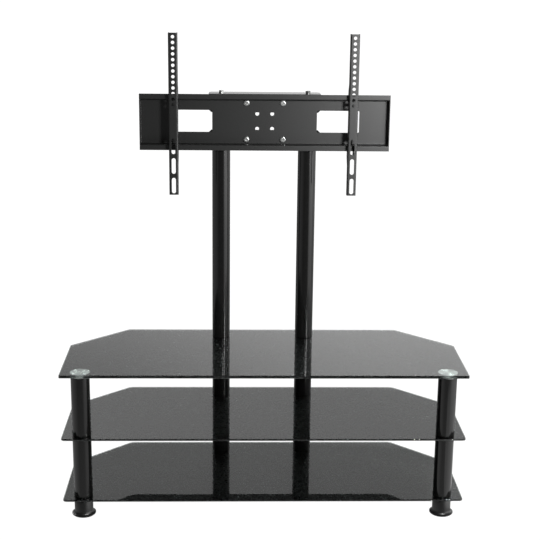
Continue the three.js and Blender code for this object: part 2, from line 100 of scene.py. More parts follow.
class TubeSettings(PropertyGroup):
    sides: IntProperty(name="Sides", description="Sides of a round piece", default=96, min=12)
    plug_rim: length("Plug rim", "Height of the plug's rim at a tube's end", 0.0011)
    seam: length("Seam", "Depth and height of the seam beside the rim", 0.0004)
    chamfer: length("Chamfer", "Chamfer at a tube's end", 0.0004)
    paint: colour("Tube paint", "Colour of the tubes and the cross bars", (0.0040, 0.0040, 0.0039))
    plastic: colour("Plastic", "Colour of the feet", (0.0065, 0.0065, 0.0065))
    rubber: colour("Rubber", "Colour of the foot pads", (0.02, 0.02, 0.02))


class MountSettings(PropertyGroup):
    fold_radius: length("Fold", "Inner radius of the folds in rail and arms", 0.001)
    edge: length("Edge", "Rounding of the sheared edges", 0.00025)
    window_width: length("Window width", "Width of the rail's windows", 0.116)
    window_height: length("Window height", "Height of the rail's windows", 0.060)
    window_place: length("Window place", "Distance of a window's middle from the centre", 0.201)
    bolt_pattern: length("Bolt square", "Spacing of the rail's bolts", 0.100)
    centre_pattern: length("Centre square", "Spacing of the rail's centre holes", 0.041)
    hole_pitch: length("Hole pitch", "Spacing of an arm's holes", 0.015)
    screen_pattern: length("Screen pattern", "From top hole to lowest slot", 0.400)
    hole_count: IntProperty(name="Holes", description="Round holes in an arm", default=13)
    slot_count: IntProperty(name="Slots", description="Slots in an arm", default=3)
    paint: colour("Mount paint", "Colour of the rail and the arms", (0.0062, 0.0064, 0.0062))
    zinc: colour("Zinc", "Colour of the plated fasteners", (0.62, 0.63, 0.62))
    disc: colour("Disc", "Colour of the turned discs", (0.90, 0.93, 0.92))


class StageSettings(PropertyGroup):
    floor_size: length("Floor", "Width of the floor", 300.0)
    floor_colour: colour("Floor colour", "What the white floor adds to its own glow", (0.03, 0.03, 0.03))
    key_power: power("Key light", "Power of the key softbox", 53.0)
    strip_power: power("Strip light", "Power of the narrow strip light", 5.0)
    card_power: power("Floor card", "Power of the bright card on the floor", 2.8)


# Modelling helpers

def new_piece(name, bm):
    mesh = bpy.data.meshes.new(name)
    bm.to_mesh(mesh)
    bm.free()
    piece = bpy.data.objects.new(name, mesh)
    bpy.context.scene.collection.objects.link(piece)
    return piece


def apply_modifiers(piece):
    depsgraph = bpy.context.evaluated_depsgraph_get()
    depsgraph.update()
    old = piece.data
    piece.data = bpy.data.meshes.new_from_object(piece.evaluated_get(depsgraph))
    piece.modifiers.clear()
    bpy.data.meshes.remove(old)


def combine(piece, tool, operation="DIFFERENCE"):
    """Cuts, joins or trims a piece with a tool, which is used up."""
    modifier = piece.modifiers.new("cut", "BOOLEAN")
    modifier.operation = operation
    modifier.solver = "EXACT"
    modifier.object = tool
    apply_modifiers(piece)
    bpy.data.objects.remove(tool)
    return piece


def ease_edges(piece, width):
    """Rounds the sheared edges and keeps the flat faces flat in the light."""
    for polygon in piece.data.polygons:
        polygon.use_smooth = True
    bevel = piece.modifiers.new("edges", "BEVEL")
    bevel.width = width
    bevel.segments = 2
    bevel.limit_method = "ANGLE"
    bevel.angle_limit = math.radians(REAL_EDGE)
    bevel.profile = 0.5
    weighted = piece.modifiers.new("normals", "WEIGHTED_NORMAL")
    weighted.keep_sharp = True
    apply_modifiers(piece)


def crisp(piece, angle=REAL_EDGE):
    """Smooth shading that breaks at the piece's real edges."""
    for polygon in piece.data.polygons:
        polygon.use_smooth = True
    piece.data.set_sharp_from_angle(angle=math.radians(angle))
    return piece


def level_faces(piece):
    """Lets the large flat faces set the shading at their edges."""
    weighted = piece.modifiers.new("normals", "WEIGHTED_NORMAL")
    weighted.mode = "FACE_AREA"
    weighted.weight = 100
    weighted.keep_sharp = True
    apply_modifiers(piece)


def hand_over(piece, finish, node, body="stand"):
    """Gives a piece its finish and its body, and lets it stand for its node."""
    if not piece.data.materials:
        piece.data.materials.append(MATERIALS[finish])
    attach(piece, body)
    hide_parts(node)


def shift(bm, geometry, vector):
    """Moves the new part of an extrusion."""
    verts = [v for v in geometry if isinstance(v, bmesh.types.BMVert)]
    bmesh.ops.translate(bm, verts=verts, vec=vector)


def round_off(bm, geometry, size, segments, affect="EDGES"):
    bmesh.ops.bevel(
        bm, geom=geometry, offset=size, segments=segments, affect=affect, profile=0.5, material=-1)


def turned(name, profile, sides, at=(0, 0, 0), closed=False):
    """A profile of radius and height pairs, spun about the vertical axis."""
    bm = bmesh.new()
    points = [bm.verts.new((radius, 0, height)) for radius, height in profile]
    pairs = list(zip(points, points[1:]))
    if closed:
        pairs.append((points[-1], points[0]))
    edges = [bm.edges.new(pair) for pair in pairs]
    bmesh.ops.spin(
        bm, geom=points + edges, cent=(0, 0, 0), axis=(0, 0, 1), angle=TURN, steps=sides, use_merge=True)
    bmesh.ops.remove_doubles(bm, verts=bm.verts, dist=WELD)
    bmesh.ops.recalc_face_normals(bm, faces=bm.faces)
    bmesh.ops.translate(bm, verts=bm.verts, vec=at)
    return crisp(new_piece(name, bm))


def add_peg(bm, radius, depth, at, sides=48, axis="Z"):
    """A round bar about a point, upright or along Y."""
    tilt = Matrix.Rotation(RIGHT_ANGLE, 4, "X") if axis == "Y" else Matrix()
    bmesh.ops.create_cone(
        bm, cap_ends=True, segments=sides, radius1=radius, radius2=radius, depth=depth,
        matrix=Matrix.Translation(at) @ tilt)


def add_block(bm, size, at, corner=0, segments=8):
    """A block about a point, with its edges along Y rounded."""
    made = bmesh.ops.create_cube(bm, size=1, matrix=Matrix.Translation(at) @ Matrix.Diagonal((*size, 1)))
    if not corner:
        return
    edges = {e for v in made["verts"] for e in v.link_edges}
    edges = [e for e in edges if abs(e.verts[0].co.y - e.verts[1].co.y) > size[1] / 2]
    round_off(bm, edges, corner, segments)


def folded_sheet(name, line, ends, lay, inner_radius, thickness):
    """A sheet that follows a line with its middle and runs between two ends."""
    bm = bmesh.new()
    points = [bm.verts.new(lay(a, b, ends[0])) for a, b in line]
    edges = [bm.edges.new(pair) for pair in zip(points, points[1:])]
    swept = bmesh.ops.extrude_edge_only(bm, edges=edges)["geom"]
    reach = Vector(lay(0, 0, ends[1])) - Vector(lay(0, 0, ends[0]))
    shift(bm, swept, reach)
    folds = [e for e in bm.edges if len(e.link_faces) == 2]
    round_off(bm, folds, inner_radius + thickness / 2, segments=5)
    bmesh.ops.recalc_face_normals(bm, faces=bm.faces)
    piece = new_piece(name, bm)
    wall = piece.modifiers.new("wall", "SOLIDIFY")
    wall.thickness = thickness
    wall.offset = 0
    wall.use_even_offset = True
    wall.use_quality_normals = True
    apply_modifiers(piece)
    return piece


def plate(name, outline, lay, low, high, rounds=(), corner=0, segments=6):
    """A flat plate with a cut outline; the corners in rounds are rounded."""
    bm = bmesh.new()
    points = [bm.verts.new(lay(a, b, low)) for a, b in outline]
    bm.faces.new(points)
    if rounds:
        round_off(bm, [points[i] for i in rounds], corner, segments, affect="VERTICES")
    lift = Vector(lay(0, 0, high)) - Vector(lay(0, 0, low))
    swept = bmesh.ops.extrude_face_region(bm, geom=bm.faces[:])["geom"]
    shift(bm, swept, lift)
    bmesh.ops.recalc_face_normals(bm, faces=bm.faces)
    return new_piece(name, bm)


def along_x(a, b, t):
    return (t, a, b)


def along_y(a, b, t):
    return (a, t, b)


def along_z(a, b, t):
    return (a, b, t)


def middle_of(node):
    low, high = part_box(node)
    return (low + high) / 2


# Materials

ROUGHNESS_NOISE = (0.3, 0.7)  # part of the noise's range that the gloss follows
COLOUR_NOISE = (0.35, 0.65)  # part of the noise's range that the tone follows


def new_material(name, base_colour, roughness, metallic=0.0, **sockets):
    material = bpy.data.materials.new(name)
    material.use_nodes = True
    shader = material.node_tree.nodes["Principled BSDF"]
    shader.inputs["Base Color"].default_value = (*base_colour, 1)
    shader.inputs["Roughness"].default_value = roughness
    shader.inputs["Metallic"].default_value = metallic
    for socket, value in sockets.items():
        shader.inputs[socket.replace("_", " ")].default_value = value
    return material


def add_noise(material, scale, stretch=(1, 1, 1)):
    nodes, links = material.node_tree.nodes, material.node_tree.links
    place = nodes.new("ShaderNodeTexCoord")
    mapping = nodes.new("ShaderNodeMapping")
    mapping.inputs["Scale"].default_value = stretch
    noise = nodes.new("ShaderNodeTexNoise")
    noise.inputs["Scale"].default_value = scale
    noise.inputs["Detail"].default_value = 3.0
    links.new(place.outputs["Object"], mapping.inputs["Vector"])
    links.new(mapping.outputs["Vector"], noise.inputs["Vector"])
    return noise.outputs["Fac"]


def calculate(tree, operation, *values):
    """A Math node on numbers or sockets."""
    node = tree.nodes.new("ShaderNodeMath")
    node.operation = operation
    for socket, value in zip(node.inputs, values):
        if isinstance(value, (int, float)):
            socket.default_value = value
        else:
            tree.links.new(value, socket)
    return node.outputs["Value"]


def map_range(tree, source, low, high, to_low, to_high, kind="LINEAR"):
    node = tree.nodes.new("ShaderNodeMapRange")
    node.interpolation_type = kind
    for name, value in (("From Min", low), ("From Max", high), ("To Min", to_low), ("To Max", to_high)):
        node.inputs[name].default_value = value
    tree.links.new(source, node.inputs["Value"])
    return node.outputs["Result"]


def vary_roughness(material, source, smooth, rough):
    tree = material.node_tree
    varied = map_range(tree, source, *ROUGHNESS_NOISE, smooth, rough)
    tree.links.new(varied, tree.nodes["Principled BSDF"].inputs["Roughness"])


def vary_colour(material, source, dark, light):
    nodes, links = material.node_tree.nodes, material.node_tree.links
    ramp = nodes.new("ShaderNodeValToRGB")
    for element, position, tone in zip(ramp.color_ramp.elements, COLOUR_NOISE, (dark, light)):
        element.position = position
        element.color = (*tone, 1)
    links.new(source, ramp.inputs["Fac"])
    links.new(ramp.outputs["Color"], nodes["Principled BSDF"].inputs["Base Color"])


def emboss(material, source, strength, depth):
    nodes, links = material.node_tree.nodes, material.node_tree.links
    bump = nodes.new("ShaderNodeBump")
    bump.inputs["Strength"].default_value = strength
    bump.inputs["Distance"].default_value = depth
    links.new(source, bump.inputs["Height"])
    links.new(bump.outputs["Normal"], nodes["Principled BSDF"].inputs["Normal"])


def shade(base, factor):
    return tuple(channel * factor for channel in base)


def powder_coat(name, base, grain, smooth, rough, bump, depth):
    """Paint whose gloss varies in wider patches than its grain, and whose tone in wider ones still."""
    material = new_material(name, base, (smooth + rough) / 2)
    vary_colour(material, add_noise(material, grain / 6), shade(base, 0.85), shade(base, 1.15))
    vary_roughness(material, add_noise(material, grain / 3), smooth, rough)
    emboss(material, add_noise(material, grain), bump, depth)
    return material


def draw_upright(material, amount):
    """The gloss of the rolled sheet stretches upright."""
    nodes, links = material.node_tree.nodes, material.node_tree.links
    shader = nodes["Principled BSDF"]
    shader.inputs["Anisotropic"].default_value = amount
    upright = nodes.new("ShaderNodeCombineXYZ")
    upright.inputs["Z"].default_value = 1.0
    links.new(upright.outputs["Vector"], shader.inputs["Tangent"])
    return material


def plated(name, base):
    material = new_material(name, base, 0.3, metallic=1.0)
    vary_colour(material, add_noise(material, 220), shade(base, 0.9), base)
    vary_roughness(material, add_noise(material, 500), 0.2, 0.34)
    emboss(material, add_noise(material, 1800), 0.15, 0.00005)
    return material


def turned_face(name, base, centre):
    """Lathe marks that run round each disc: the shine stretches across them."""
    material = new_material(name, base, 0.27, metallic=1.0, Anisotropic=0.93)
    tree = material.node_tree
    nodes, links = tree.nodes, tree.links
    place = nodes.new("ShaderNodeTexCoord")
    split = nodes.new("ShaderNodeSeparateXYZ")
    links.new(place.outputs["Object"], split.inputs["Vector"])
    side = calculate(tree, "SIGN", split.outputs["X"])
    middle = calculate(tree, "MULTIPLY", side, abs(centre.x))
    spoke = nodes.new("ShaderNodeCombineXYZ")
    links.new(calculate(tree, "SUBTRACT", split.outputs["X"], middle), spoke.inputs["X"])
    links.new(calculate(tree, "SUBTRACT", split.outputs["Y"], centre.y), spoke.inputs["Y"])
    outward = nodes.new("ShaderNodeVectorMath")
    outward.operation = "NORMALIZE"
    links.new(spoke.outputs["Vector"], outward.inputs[0])
    links.new(outward.outputs["Vector"], nodes["Principled BSDF"].inputs["Tangent"])
    distance = nodes.new("ShaderNodeVectorMath")
    distance.operation = "LENGTH"
    links.new(spoke.outputs["Vector"], distance.inputs[0])
    rings = nodes.new("ShaderNodeTexNoise")
    rings.noise_dimensions = "1D"
    rings.inputs["Scale"].default_value = 2600
    links.new(distance.outputs["Value"], rings.inputs["W"])
    vary_colour(material, rings.outputs["Fac"], shade(base, 0.88), base)
    emboss(material, rings.outputs["Fac"], 0.2, 0.00006)
    return material


def clear_glass(name, tint):
    material = new_material(name, tint, 0.0, Transmission_Weight=1.0, IOR=1.52)
    vary_roughness(material, add_noise(material, 9, stretch=(1, 2, 1)), 0.0, 0.012)
    return material


def printed_black(name, base):
    material = new_material(name, base, 0.3)
    vary_colour(material, add_noise(material, 60), shade(base, 0.85), shade(base, 1.15))
    vary_roughness(material, add_noise(material, 180), 0.22, 0.36)
    emboss(material, add_noise(material, 900), 0.08, 0.00005)
    return material


MATERIALS = {}


def make_materials(scene):
    glass, tubes, mount = scene.stand_glass, scene.stand_tubes, scene.stand_mount
    MATERIALS.update(
        glass=clear_glass("clear_glass", glass.tint),
        printed=printed_black("printed_underside", glass.print_colour),
        tube=powder_coat(
            "satin_tube_paint", tubes.paint, grain=900, smooth=0.12, rough=0.17, bump=0.05, depth=5e-5),
        bar=powder_coat(
            "satin_bar_paint", tubes.paint, grain=900, smooth=0.19, rough=0.25, bump=0.08, depth=5e-5),
        mount=draw_upright(powder_coat(
            "textured_mount_paint", mount.paint,
            grain=1500, smooth=0.40, rough=0.455, bump=0.18, depth=1e-4), amount=0.56),
        plastic=powder_coat(
            "moulded_plastic", tubes.plastic, grain=700, smooth=0.28, rough=0.40, bump=0.12, depth=1e-4),
        rubber=powder_coat(
            "foot_rubber", tubes.rubber, grain=1400, smooth=0.7, rough=0.85, bump=0.3, depth=1e-4),
        zinc=plated("zinc_plate", mount.zinc),
        disc=turned_face("turned_disc", mount.disc, middle_of("left_leg_bonded_disc")),
    )


# Pieces

class MakeMaterials(Operator):
    """Make the finishes of every piece"""
    bl_idname = "tv_stand.materials"
    bl_label = "Materials"

    def execute(self, context):
        make_materials(context.scene)
        return {"FINISHED"}


SHELF_FINISHES = ("glass", "printed", "disc")  # the glass itself, its underside, what its windows show
WINDOW_RECESS = 0.00005  # depth of the print that a window is free of
FACES_DOWN = -0.9  # a face of the underside points down by more than this
GLASS_EDGE = 50  # degrees, above the steps of the rounded arris


def shelf_outline(node, settings):
    low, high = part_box(node)
    shoulder = low.y + settings.side_depth
    rear = settings.rear_width / 2
    return [
        (low.x, low.y), (high.x, low.y), (high.x, shoulder),
        (rear, high.y), (-rear, high.y), (low.x, shoulder),
    ]


def make_shelf(name, node, corner, windows, settings):
    low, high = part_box(node)
    outline = shelf_outline(node, settings)
    piece = plate(
        name, outline, along_z, low.z, high.z, rounds=range(len(outline)), corner=corner, segments=8)
    bm = bmesh.new()
    bm.from_mesh(piece.data)
    edges = [
        e for e in bm.edges
        if abs(e.verts[0].co.z - e.verts[1].co.z) < WELD and e.calc_face_angle(0) > RIGHT_ANGLE / 2
    ]
    round_off(bm, edges, settings.arris, segments=3)
    bm.to_mesh(piece.data)
    bm.free()
    if windows:
        cutters = bmesh.new()
        for place, radius in windows:
            add_peg(cutters, radius, 2 * WINDOW_RECESS, (place.x, place.y, low.z), 96)
        combine(piece, new_piece("window_cutter", cutters))
    piece.data.materials.clear()
    for finish in SHELF_FINISHES:
        piece.data.materials.append(MATERIALS[finish])
    for polygon in piece.data.polygons:
        if polygon.normal.z > FACES_DOWN:
            continue
        if polygon.center.z - low.z < WINDOW_RECESS / 5:
            polygon.material_index = SHELF_FINISHES.index("printed")
        elif any((polygon.center - place).xy.length < radius for place, radius in windows):
            polygon.material_index = SHELF_FINISHES.index("disc")
    level_faces(crisp(piece, GLASS_EDGE))
    hand_over(piece, "glass", node)


class MakeShelves(Operator):
    """Make the three glass shelves with their printed undersides"""
    bl_idname = "tv_stand.shelves"
    bl_label = "Glass shelves"

    def execute(self, context):
        settings = context.scene.stand_glass
        windows = []
        for side in SIDES:
            disc = f"{side}_leg_bonded_disc"
            low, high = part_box(disc)
            windows.append((middle_of(disc), (high.x - low.x) / 2 - settings.window_inset))
        make_shelf("bottom_glass", "bottom_shelf", settings.low_corner, (), settings)
        make_shelf("middle_glass", "middle_shelf", settings.low_corner, (), settings)
        make_shelf("top_glass", "top_shelf", settings.top_corner, windows, settings)
        return {"FINISHED"}


def tube_profile(radius, low, high, settings):
    """A tube with a plug's rim at each end, from the bottom up."""
    rim, seam, chamfer = settings.plug_rim, settings.seam, settings.chamfer
    end = [
        (0, 0), (radius - chamfer, 0), (radius, chamfer), (radius, rim),
        (radius - seam, rim), (radius - seam, rim + seam), (radius, rim + seam),
    ]
    return [(r, low + z) for r, z in end] + [(r, high - z) for r, z in reversed(end)]


class MakeTubes(Operator):
    """Make the leg tubes and the columns"""
    bl_idname = "tv_stand.tubes"
    bl_label = "Tubes"

    def execute(self, context):
        settings = context.scene.stand_tubes
        nodes = [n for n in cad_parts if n.endswith("_tube")]
        for node in sorted(nodes):
            low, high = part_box(node)
            at = middle_of(node)
            profile = tube_profile((high.x - low.x) / 2, low.z, high.z, settings)
            piece = turned(node.replace("_tube", "_post"), profile, settings.sides, (at.x, at.y, 0))
            hand_over(piece, "tube", node)
        return {"FINISHED"}


class MakeDiscs(Operator):
    """Make the bonded discs under the top glass"""
    bl_idname = "tv_stand.discs"
    bl_label = "Bonded discs"

    def execute(self, context):
        sides = context.scene.stand_tubes.sides
        thickness, bevel, bond = 0.004, 0.0006, 0.00002
        for side in SIDES:
            node = f"{side}_leg_bonded_disc"
            low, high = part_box(node)
            at = middle_of(node)
            radius = (high.x - low.x) / 2
            base = high.z - thickness
            top = high.z - bond
            profile = [
                (0, low.z), (THREAD, low.z), (THREAD, base), (radius - bevel, base), (radius, base + bevel),
                (radius, high.z - bevel / 2), (radius - bevel / 2, top), (0, top),
            ]
            piece = turned(f"{side}_disc", profile, sides, (at.x, at.y, 0))
            hand_over(piece, "disc", node)
        return {"FINISHED"}


def foot_profile():
    """The flared cup: outside, top, bolt boss and inside."""
    brim, brim_top, neck, neck_base, top = 0.032, 0.003, 0.025, 0.0125, 0.0475
    boss, boss_base, cavity, ceiling = 0.009, 0.024, 0.022, 0.0425
    steps = 10
    flare = [
        (brim - (brim - neck) * math.sin(a), brim_top + (neck_base - brim_top) * (1 - math.cos(a)))
        for a in (i * RIGHT_ANGLE / steps for i in range(1, steps))
    ]
    eased_brim = [(0.0312, 0), (0.0318, 0.0003), (brim, 0.001)]
    eased_top = [(neck, 0.0467), (0.0248, 0.0473), (0.0243, top)]
    return [
        (0.0245, 0), *eased_brim, (brim, brim_top), *flare, (neck, neck_base), *eased_top,
        (BOLT_HOLE, top), (BOLT_HOLE, boss_base), (boss, boss_base), (boss, ceiling),
        (cavity, ceiling), (cavity, neck_base),
    ]


class MakeFeet(Operator):
    """Make the moulded feet with their ribs, pads and bolts"""
    bl_idname = "tv_stand.feet"
    bl_label = "Feet"

    def execute(self, context):
        settings = context.scene.stand_tubes
        long, thin, tall, reach, middle = 0.0145, 0.0025, 0.0160, 0.0155, 0.0360
        for stack in STACKS:
            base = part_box(f"{stack}_foot")[0].z
            at = middle_of(f"{stack}_foot_bolt")
            foot = turned(f"{stack}_cup", foot_profile(), settings.sides, (at.x, at.y, base), closed=True)
            ribs = bmesh.new()
            for x, y in ((1, 0), (-1, 0), (0, 1), (0, -1)):
                size = (long, thin, tall) if x else (thin, long, tall)
                add_block(ribs, size, (at.x + x * reach, at.y + y * reach, base + middle))
            combine(foot, new_piece("rib_tool", ribs), "UNION")
            crisp(foot)
            hand_over(foot, "plastic", f"{stack}_foot")
            make_pad(stack, at, settings.sides)
            make_foot_bolt(stack, at)
        return {"FINISHED"}


def make_pad(stack, at, sides):
    low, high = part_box(f"{stack}_foot_pad")
    width, ease = 0.0055, 0.0003
    outer = (high.y - low.y) / 2
    inner = outer - width
    profile = [
        (inner, low.z + ease), (inner + ease, low.z), (outer - ease, low.z), (outer, low.z + ease),
        (outer, high.z), (inner, high.z),
    ]
    pad = turned(f"{stack}_pad", profile, sides, (at.x, at.y, 0), closed=True)
    hand_over(pad, "rubber", f"{stack}_foot_pad")


def hexagon_head(name, radius, low, high, at):
    """A hexagon whose corners are chamfered, about the vertical axis."""
    bm = bmesh.new()
    bmesh.ops.create_cone(
        bm, cap_ends=True, segments=6, radius1=radius, radius2=radius, depth=high - low,
        matrix=Matrix.Translation((0, 0, (low + high) / 2)))
    head = new_piece(name, bm)
    face = radius * math.cos(math.pi / 6) * 0.98
    past, fall = radius * 1.01, radius * 0.12
    chamfer = [(0, low), (face, low), (past, low + fall), (past, high - fall), (face, high), (0, high)]
    combine(head, turned("chamfer_tool", chamfer, 48), "INTERSECT")
    head.data.transform(Matrix.Translation(at))
    return head


def threaded_profile(radius, low, high, pitch=0.00125):
    """Thread rings from low to high, for a profile that starts on the axis."""
    root = radius - pitch / 2
    ring = ((root, 0.1), (radius, 0.45), (radius, 0.6))
    points = [(0, low), (root, low)]
    for i in range(int((high - low) / pitch)):
        points += [(r, low + i * pitch + pitch * share) for r, share in ring]
    return points + [(root, high)]


FOOT_BOLT_HEAD = 0.0053  # height of its head


def make_foot_bolt(stack, at):
    node = f"{stack}_foot_bolt"
    low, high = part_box(node)
    radius = (high.y - low.y) / 2
    head_top = low.z + FOOT_BOLT_HEAD
    head = hexagon_head(f"{stack}_bolt", radius, low.z, head_top, (at.x, at.y, 0))
    profile = threaded_profile(THREAD, head_top - OVERLAP, high.z) + [(0, high.z)]
    combine(head, turned("shank_tool", profile, 24, (at.x, at.y, 0)), "UNION")
    crisp(head)
    hand_over(head, "zinc", node)


class MakeCrossBars(Operator):
    """Make the angle and the flat bar that join the columns"""
    bl_idname = "tv_stand.cross_bars"
    bl_label = "Cross bars"

    def execute(self, context):
        mount = context.scene.stand_mount
        self.make_angle(mount)
        self.make_flat(mount)
        return {"FINISHED"}

    def make_angle(self, mount):
        low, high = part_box("upper_cross_bar")
        wall, inner_radius = 0.003, 0.0002
        through, cut = 4 * wall, BAR_CLIP * math.sqrt(2)
        front, top = low.y + wall / 2, high.z - wall / 2
        line = [(front, low.z), (front, top), (high.y, top)]
        bar = folded_sheet("angle_bar", line, (low.x, high.x), along_x, inner_radius, wall)
        clips = bmesh.new()
        corners = ((front, low.z, "Y", (cut, through, cut)), (high.y, top, "Z", (cut, cut, through)))
        for x in (low.x, high.x):
            for y, z, axis, size in corners:
                tilted = Matrix.Translation((x, y, z)) @ Matrix.Rotation(math.pi / 4, 4, axis)
                bmesh.ops.create_cube(clips, size=1, matrix=tilted @ Matrix.Diagonal((*size, 1)))
        combine(bar, new_piece("clip_tool", clips))
        holes = bmesh.new()
        reach = mount.bolt_pattern / 2
        bolts = middle_of("mount_rail").z + reach
        column = middle_of("right_column_tall_tube")
        for side in (-1, 1):
            add_peg(holes, BOLT_HOLE, through, (side * reach, front, bolts), axis="Y")
            add_peg(holes, BOLT_HOLE, through, (side * column.x, column.y, top))
        combine(bar, new_piece("hole_tool", holes))
        ease_edges(bar, mount.edge)
        hand_over(bar, "bar", "upper_cross_bar")

    def make_flat(self, mount):
        low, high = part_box("lower_cross_bar")
        clip = BAR_CLIP
        outline = [
            (low.x + clip, low.z), (high.x - clip, low.z), (high.x, low.z + clip), (high.x, high.z - clip),
            (high.x - clip, high.z), (low.x + clip, high.z), (low.x, high.z - clip), (low.x, low.z + clip),
        ]
        bar = plate("flat_bar", outline, along_y, low.y, high.y)
        holes = bmesh.new()
        through, sink, sink_end, sink_depth = 0.012, 0.0063, 0.0033, 0.00302
        reach = mount.bolt_pattern / 2
        bolts = middle_of("mount_rail").z - reach
        screw = middle_of("right_column_bar_screw")
        middle = (low.y + high.y) / 2
        for side in (-1, 1):
            add_peg(holes, BOLT_HOLE, through, (side * reach, low.y, bolts), axis="Y")
            place = Matrix.Translation((side * screw.x, middle, screw.z))
            bmesh.ops.create_cone(
                holes, cap_ends=True, segments=48, radius1=sink, radius2=sink_end, depth=sink_depth,
                matrix=place @ Matrix.Rotation(-RIGHT_ANGLE, 4, "X"))
        combine(bar, new_piece("hole_tool", holes))
        ease_edges(bar, mount.edge)
        hand_over(bar, "bar", "lower_cross_bar")


class MakeRail(Operator):
    """Make the pressed mounting rail"""
    bl_idname = "tv_stand.rail"
    bl_label = "Mounting rail"

    def execute(self, context):
        mount = context.scene.stand_mount
        low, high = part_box("mount_rail")
        centre = middle_of("mount_rail")
        lip = 0.015
        front, web = low.y + SHEET / 2, high.y - SHEET / 2
        wall = (high.z - low.z) / 2 - lip + SHEET / 2
        line = [
            (front, low.z), (front, centre.z - wall), (web, centre.z - wall),
            (web, centre.z + wall), (front, centre.z + wall), (front, high.z),
        ]
        rail = folded_sheet("pressed_rail", line, (low.x, high.x), along_x, mount.fold_radius, SHEET)
        self.close_ends(rail, low, high, centre, web, wall, mount)
        self.punch(rail, centre, web, mount)
        ease_edges(rail, mount.edge)
        hand_over(rail, "mount", "mount_rail")
        return {"FINISHED"}

    def close_ends(self, rail, low, high, centre, web, wall, mount):
        """Cuts the tray's ends back and folds a wall up at each."""
        relief = 0.001
        height = 2 * (wall - SHEET / 2 - relief)
        room = mount.fold_radius + SHEET
        corners = bmesh.new()
        for x in (low.x, high.x):
            add_block(corners, (2 * room, SHEET + OVERRUN, height), (x, web, centre.z))
        combine(rail, new_piece("corner_tool", corners))
        for x in (low.x, high.x):
            outward = math.copysign(1, x - centre.x)
            end = x - outward * SHEET / 2
            line = [(x - outward * (room + OVERLAP), web), (end, web), (end, low.y)]
            end_wall = folded_sheet(
                "end_wall_tool", line, (centre.z - height / 2, centre.z + height / 2), along_z,
                mount.fold_radius, SHEET)
            combine(rail, end_wall, "UNION")

    def punch(self, rail, centre, web, mount):
        through, window_corner, centre_hole = 4 * SHEET, 0.003, 0.0053
        squares = ((mount.bolt_pattern / 2, BOLT_HOLE), (mount.centre_pattern / 2, centre_hole))
        tools = bmesh.new()
        for side in (-1, 1):
            window = (mount.window_width, through, mount.window_height)
            add_block(tools, window, (side * mount.window_place, web, centre.z), window_corner)
            for up in (-1, 1):
                for reach, radius in squares:
                    add_peg(tools, radius, through, (side * reach, web, centre.z + up * reach), axis="Y")
        combine(rail, new_piece("punch_tool", tools))


NUT_BORE = 0.06  # length of the tool that bores a nut


def bolt_shank(tail, seat, head):
    """A thread from its tail to its seat, and the eased lower edge of a head of the given radius."""
    neck = seat - THREAD_END
    return threaded_profile(THREAD, tail, neck) + [
        (THREAD, neck), (THREAD, seat), (head - BOLT_EASE, seat), (head, seat + BOLT_EASE)]


def to_front(piece, at):
    """Lays a piece that was turned upright so that its top faces the front."""
    piece.data.transform(Matrix.Translation(at) @ Matrix.Rotation(RIGHT_ANGLE, 4, "X"))
    return piece


